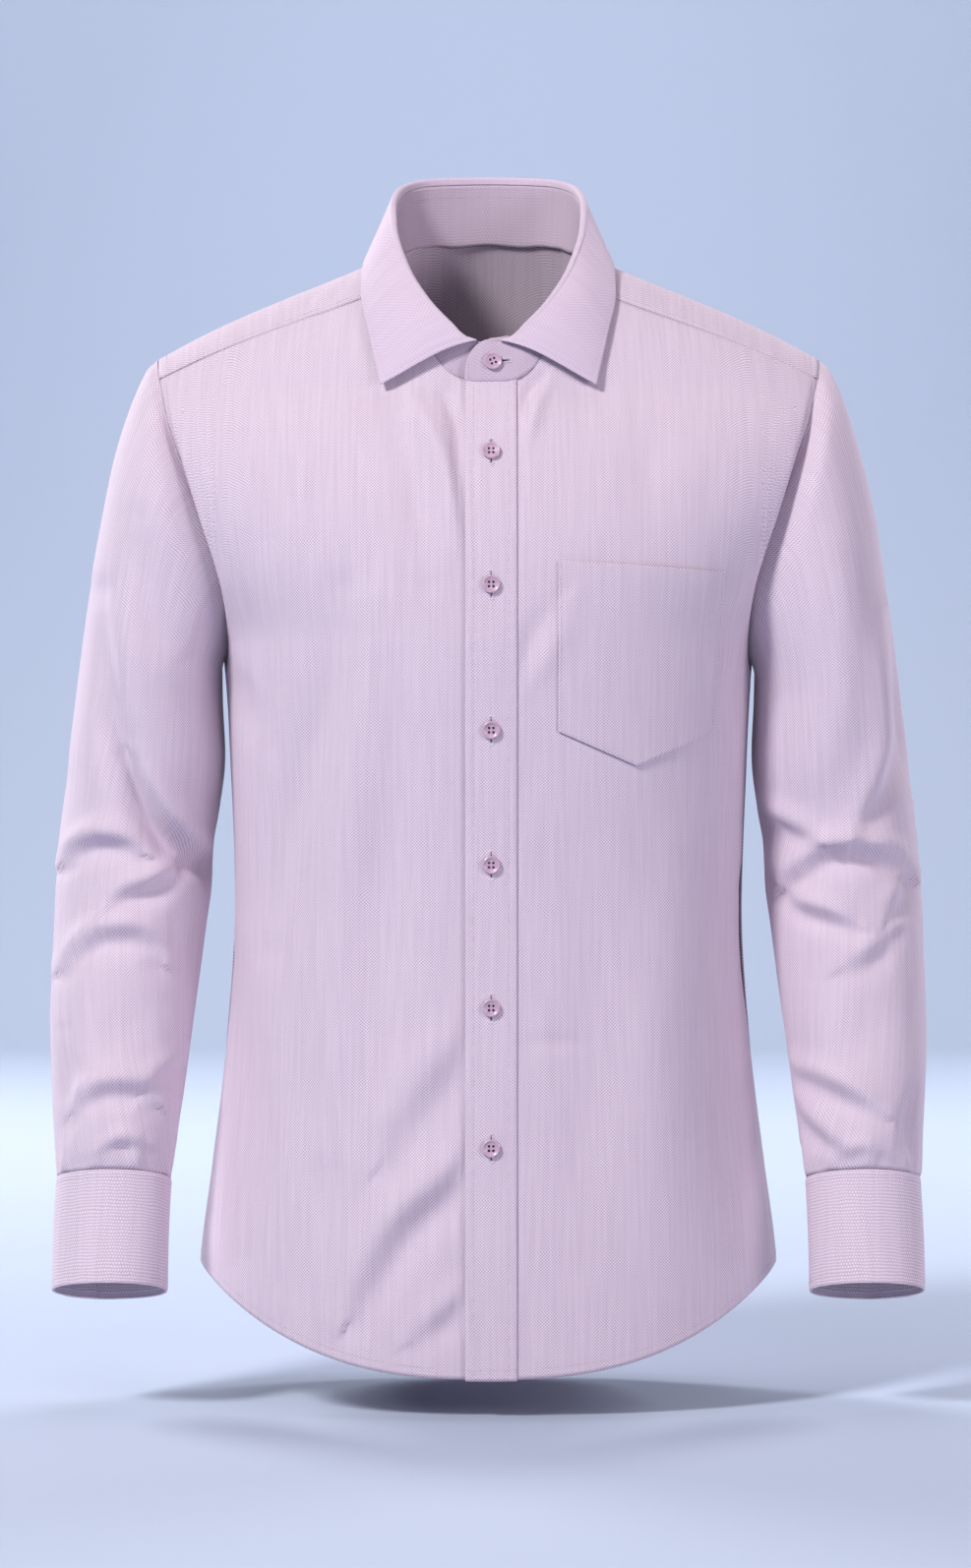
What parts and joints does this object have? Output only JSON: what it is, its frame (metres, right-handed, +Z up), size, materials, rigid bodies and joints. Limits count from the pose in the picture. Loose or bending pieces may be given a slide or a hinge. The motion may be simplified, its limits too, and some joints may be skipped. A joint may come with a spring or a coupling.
{
  "type": "long sleeve dress shirt",
  "caption": "Dress shirt with long sleeves, turned-down collar, buttoned front band, chest pocket, curved hem and cuffs, filled out with no wearer.",
  "frame": {"origin": "where the wearer's shoulders hold the shirt: the middle of the neck, level with the shoulder seams beside the collar", "axes": "+X towards the wearer's left, +Y towards the wearer's back, +Z up"},
  "size_m": [0.6028, 0.2431, 0.832],
  "materials": {
    "cloth": "small two-tone lilac and mauve weave, matt",
    "button": "mauve, polished"
  },
  "bodies": {
    "root": {"front_left": "cloth", "front_right": "cloth", "placket": "cloth", "back": "cloth", "yoke": "cloth", "sleeve_left": "cloth", "sleeve_right": "cloth", "sleeve_placket_left": "cloth", "sleeve_placket_right": "cloth", "cuff_left": "cloth", "cuff_right": "cloth", "collar_stand": "cloth", "collar_leaf": "cloth", "pocket": "cloth", "button_1": "button", "button_2": "button", "button_3": "button", "button_4": "button", "button_5": "button", "button_6": "button", "button_7": "button", "cuff_button_left": "button", "cuff_button_right": "button"}
  },
  "joints": []
}
